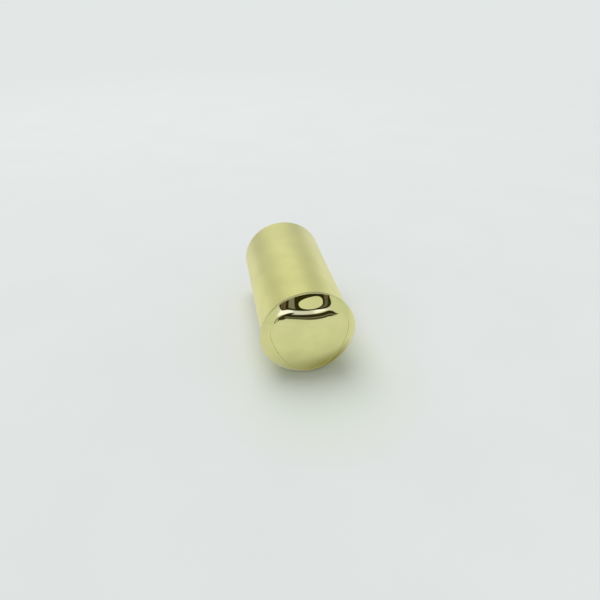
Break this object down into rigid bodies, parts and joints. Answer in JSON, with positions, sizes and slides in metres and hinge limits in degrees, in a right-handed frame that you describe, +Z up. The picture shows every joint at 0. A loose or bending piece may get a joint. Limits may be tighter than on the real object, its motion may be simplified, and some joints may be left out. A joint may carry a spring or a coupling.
{
  "type": "lipstick case",
  "caption": "Short round twist-up lipstick case lying on its side: satin full-length cap over a polished foot with a crowned three-sided end, holding a cup raised by a spiral sleeve.",
  "frame": {"origin": "on the surface that the case lies on, under the middle of the closed case", "axes": "+Z up; the case's own axis lies along Y, with the polished foot towards -Y and the closed end of the cap towards +Y; +X to the right when facing the foot"},
  "size_m": [0.022, 0.0406, 0.022],
  "materials": {
    "polished_gold": "mirror polished, pale champagne gold plating",
    "satin_gold": "satin anodised, pale champagne gold",
    "bright_gold": "bright anodised, pale champagne gold",
    "cup_gold": "bright anodised, lightly brushed",
    "white_plastic": "moulded, semi-matte",
    "grey_plastic": "moulded, smooth",
    "black_rubber": "matte",
    "plain_steel": "pressed, unpolished"
  },
  "bodies": {
    "base": {"base_foot": "polished_gold", "base_core": "white_plastic", "base_weight": "plain_steel", "neck_shell": "bright_gold", "guide_tube": "white_plastic", "brake_ring": "black_rubber"},
    "cap": {"cap_shell": "satin_gold", "cap_liner": "white_plastic", "cap_weight": "plain_steel"},
    "collar": {"spiral_sleeve": "grey_plastic", "collar_shell": "bright_gold"},
    "carrier": {"cup": "cup_gold"}
  },
  "joints": [
    {"name": "cap_pull", "type": "slide", "parent": "base", "child": "cap", "axis": [0, 1, 0], "range_m": [0, 0.032]},
    {"name": "collar_turn", "type": "hinge", "parent": "base", "child": "collar", "pos_m": [0, 0, 0.01098], "axis": [0, -1, 0], "range_deg": [0, 360]},
    {"name": "carrier_rise", "type": "slide", "parent": "base", "child": "carrier", "axis": [0, 1, 0], "range_m": [0, 0.0125]}
  ],
  "couplings": [
    {"joint": "carrier_rise", "follows": "collar_turn", "m_per_rad": 0.0019894}
  ]
}
